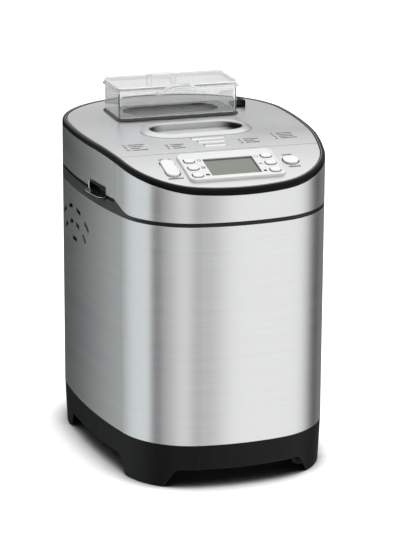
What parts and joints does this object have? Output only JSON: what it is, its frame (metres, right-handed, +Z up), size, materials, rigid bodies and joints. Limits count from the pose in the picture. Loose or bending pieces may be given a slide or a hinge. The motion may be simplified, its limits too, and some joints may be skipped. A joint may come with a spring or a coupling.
{
  "type": "bread machine",
  "caption": "Upright bread machine with a bowed steel body, sloping console, lid with a viewing window and a clear lift-off ingredient dispenser, and a pan with a kneading paddle.",
  "frame": {"origin": "middle of the overall box on the ground the feet stand on", "axes": "+X to the right seen from the front, +Y to the back, +Z up; the console faces -Y"},
  "size_m": [0.2354, 0.3064, 0.3431],
  "materials": {
    "wrap_steel": "satin, brushed across",
    "plate_metal": "fine satin",
    "black_plastic": "smooth, slightly glossy",
    "base_plastic": "fine matte grain",
    "grey_plastic": "smooth matte",
    "white_plastic": "smooth satin",
    "lcd": "smooth, grey-green behind",
    "clear": "clear, smooth",
    "window_metal": "polished satin",
    "rubber": "matte",
    "silicone": "matte, heat resistant",
    "sheet_steel": "zinc plated",
    "oven_metal": "mill finish",
    "non_stick": "dark non-stick coat",
    "bright_steel": "bright drawn",
    "element": "dark oxide",
    "probe_metal": "plain turned",
    "pulley_plastic": "moulded",
    "motor_steel": "grey enamel",
    "can_metal": "drawn can",
    "coil_wrap": "taped coil",
    "circuit": "solder mask"
  },
  "bodies": {
    "housing": {"base_tray": "base_plastic", "rubber_feet": "rubber", "bottom_plate": "sheet_steel", "case_screws": "bright_steel", "outer_wrap": "wrap_steel", "top_frame": "grey_plastic", "front_band": "wrap_steel", "console_rim": "black_plastic", "console_panel": "plate_metal", "console_housing": "grey_plastic", "display_bezel": "white_plastic", "lcd_glass": "lcd", "control_board": "circuit", "oven_chamber": "oven_metal", "heating_element": "element", "temperature_probe": "probe_metal", "pan_seat": "sheet_steel", "chassis_plate": "sheet_steel", "shaft_bearing": "sheet_steel", "motor_housing": "motor_steel", "motor_capacitor": "can_metal", "heat_shield": "sheet_steel", "power_board": "circuit", "cord_gland": "rubber", "hinge_bracket": "sheet_steel", "drive_belt": "rubber"},
    "drive": {"driven_pulley": "pulley_plastic", "drive_shaft": "bright_steel"},
    "rotor": {"motor_rotor": "motor_steel", "motor_pulley": "pulley_plastic"},
    "pan": {"baking_pan": "non_stick"},
    "bail": {"pan_handle": "bright_steel"},
    "paddle": {"kneading_paddle": "non_stick", "pan_shaft": "bright_steel"},
    "lid": {"lid_top_plate": "plate_metal", "lid_rim": "black_plastic", "lid_band": "wrap_steel", "lid_frame": "black_plastic", "lid_inner_plate": "oven_metal", "lid_seal": "silicone", "lid_grips": "black_plastic", "window_frame": "window_metal", "window_panes": "clear", "dispenser_chute": "oven_metal", "release_solenoid": "coil_wrap", "hinge_pins": "bright_steel"},
    "plunger": {"solenoid_plunger": "bright_steel"},
    "dispenser": {"dispenser_box": "clear", "dispenser_base": "grey_plastic"},
    "flap": {"dispenser_flap": "grey_plastic"},
    "cover": {"dispenser_cover": "clear"},
    "latch": {"dispenser_latch": "black_plastic"},
    "start": {"start_button": "white_plastic"},
    "rocker": {"program_rocker": "white_plastic"},
    "menu_key_cap": {"menu_key": "white_plastic"},
    "crust_key_cap": {"crust_key": "white_plastic"},
    "size_key_cap": {"size_key": "white_plastic"},
    "timer_up_key_cap": {"timer_up_key": "white_plastic"},
    "timer_down_key_cap": {"timer_down_key": "white_plastic"},
    "light_key_cap": {"light_key": "white_plastic"}
  },
  "joints": [
    {"name": "drive_spin", "type": "hinge", "parent": "housing", "child": "drive", "pos_m": [0, 0.031, 0.05], "axis": [0, 0, 1], "continuous": true},
    {"name": "motor_spin", "type": "hinge", "parent": "housing", "child": "rotor", "pos_m": [0, -0.107, 0.076], "axis": [0, 0, 1], "continuous": true},
    {"name": "pan_lift", "type": "slide", "parent": "housing", "child": "pan", "axis": [0, 0, 1], "range_m": [0, 0.05]},
    {"name": "paddle_spin", "type": "hinge", "parent": "pan", "child": "paddle", "pos_m": [0, 0.031, 0.098], "axis": [0, 0, 1], "continuous": true},
    {"name": "bail_swing", "type": "hinge", "parent": "pan", "child": "bail", "pos_m": [0, 0.031, 0.194], "axis": [-1, 0, 0], "range_deg": [0, 82]},
    {"name": "lid_hinge", "type": "hinge", "parent": "housing", "child": "lid", "pos_m": [0, 0.141, 0.2815], "axis": [-1, 0, 0], "range_deg": [0, 75]},
    {"name": "release_plunger", "type": "slide", "parent": "lid", "child": "plunger", "axis": [1, 0, 0], "range_m": [0, 0.004], "stiffness_N_per_m": 200, "springref_m": -0.002},
    {"name": "dispenser_lift", "type": "slide", "parent": "lid", "child": "dispenser", "axis": [0, 0, 1], "range_m": [0, 0.03]},
    {"name": "flap_hinge", "type": "hinge", "parent": "dispenser", "child": "flap", "pos_m": [0, 0.0964, 0.3065], "axis": [1, 0, 0], "range_deg": [0, 70]},
    {"name": "cover_hinge", "type": "hinge", "parent": "dispenser", "child": "cover", "pos_m": [0, 0.1062, 0.3375], "axis": [-1, 0, 0], "range_deg": [0, 110]},
    {"name": "latch_slide", "type": "slide", "parent": "lid", "child": "latch", "axis": [1, 0, 0], "range_m": [0, 0.004], "stiffness_N_per_m": 150, "springref_m": -0.002},
    {"name": "menu_key_press", "type": "slide", "parent": "housing", "child": "menu_key_cap", "axis": [0, 0.2415, -0.9704], "range_m": [0, 0.001], "stiffness_N_per_m": 600, "springref_m": -0.0004},
    {"name": "crust_key_press", "type": "slide", "parent": "housing", "child": "crust_key_cap", "axis": [0, 0.2415, -0.9704], "range_m": [0, 0.001], "stiffness_N_per_m": 600, "springref_m": -0.0004},
    {"name": "size_key_press", "type": "slide", "parent": "housing", "child": "size_key_cap", "axis": [0, 0.2415, -0.9704], "range_m": [0, 0.001], "stiffness_N_per_m": 600, "springref_m": -0.0004},
    {"name": "timer_up_key_press", "type": "slide", "parent": "housing", "child": "timer_up_key_cap", "axis": [0, 0.2415, -0.9704], "range_m": [0, 0.001], "stiffness_N_per_m": 600, "springref_m": -0.0004},
    {"name": "timer_down_key_press", "type": "slide", "parent": "housing", "child": "timer_down_key_cap", "axis": [0, 0.2415, -0.9704], "range_m": [0, 0.001], "stiffness_N_per_m": 600, "springref_m": -0.0004},
    {"name": "light_key_press", "type": "slide", "parent": "housing", "child": "light_key_cap", "axis": [0, 0.2415, -0.9704], "range_m": [0, 0.001], "stiffness_N_per_m": 600, "springref_m": -0.0004},
    {"name": "start_press", "type": "slide", "parent": "housing", "child": "start", "axis": [0, 0.2415, -0.9704], "range_m": [0, 0.001], "stiffness_N_per_m": 600, "springref_m": -0.0004},
    {"name": "rocker_tilt", "type": "hinge", "parent": "housing", "child": "rocker", "pos_m": [-0.0577, -0.10877, 0.29504], "axis": [1, 0, 0], "range_deg": [-3, 3], "stiffness_Nm_per_rad": 0.2}
  ],
  "couplings": [
    {"joint": "motor_spin", "follows": "drive_spin", "ratio": 6.25},
    {"joint": "paddle_spin", "follows": "drive_spin", "ratio": 1}
  ]
}
